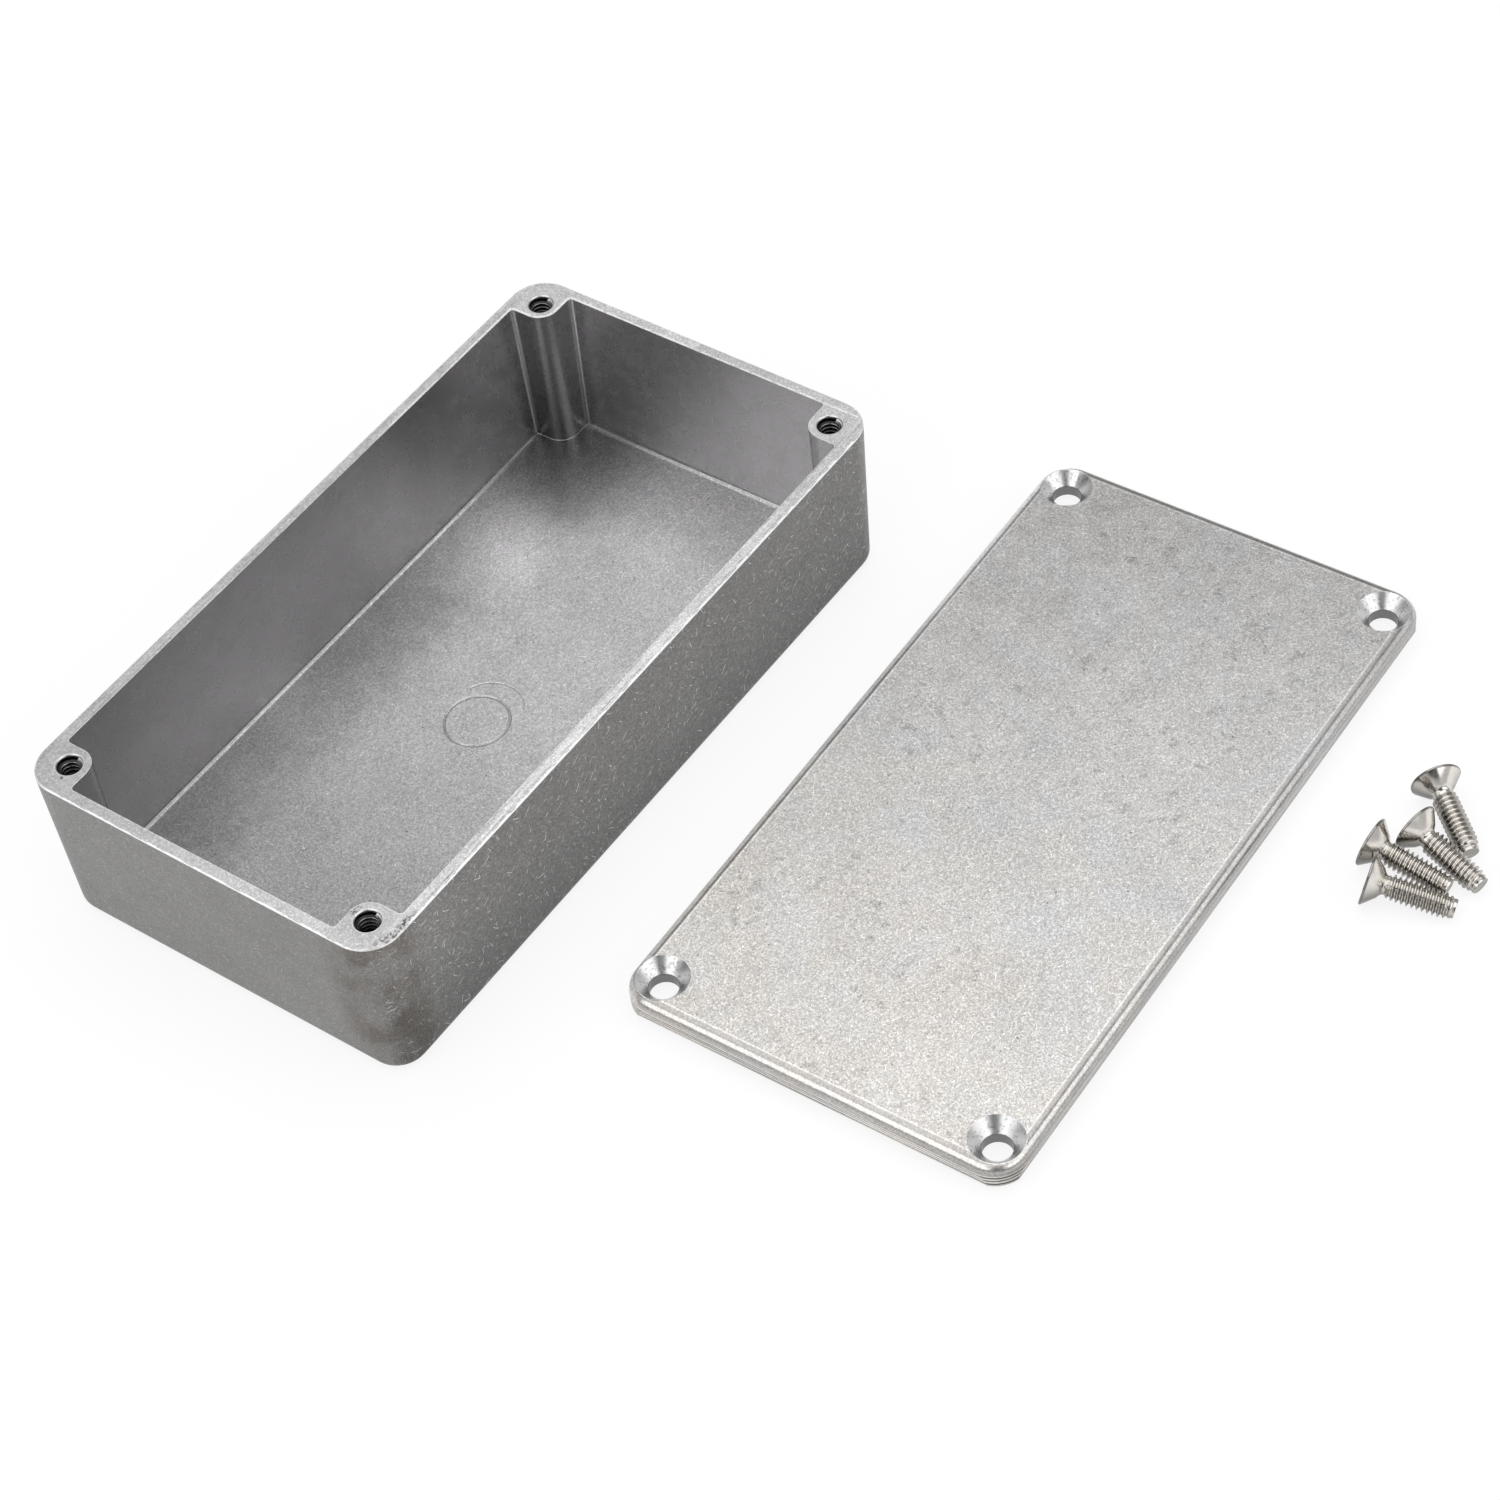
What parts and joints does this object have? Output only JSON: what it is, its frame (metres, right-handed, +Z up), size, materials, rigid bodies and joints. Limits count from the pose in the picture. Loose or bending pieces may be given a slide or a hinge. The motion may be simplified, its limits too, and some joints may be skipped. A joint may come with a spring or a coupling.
{
  "type": "die cast aluminium box",
  "caption": "Open die cast aluminium electronics enclosure with drafted walls and corner bosses, its countersunk lid laid beside it, and loose countersunk screws.",
  "frame": {"origin": "on the surface that the box stands on, under the middle of the box", "axes": "+X along the box's length, +Y across the box, away from the lid, +Z up through the box's open mouth"},
  "size_m": [0.1375, 0.1621, 0.0264],
  "materials": {
    "box": "as die cast, tumbled",
    "lid": "as die cast, tumbled",
    "screw": "bright nickel plate"
  },
  "bodies": {
    "root": {"box_body": "box", "lid": "lid", "screw_1": "screw", "screw_2": "screw", "screw_3": "screw", "screw_4": "screw"}
  },
  "joints": []
}
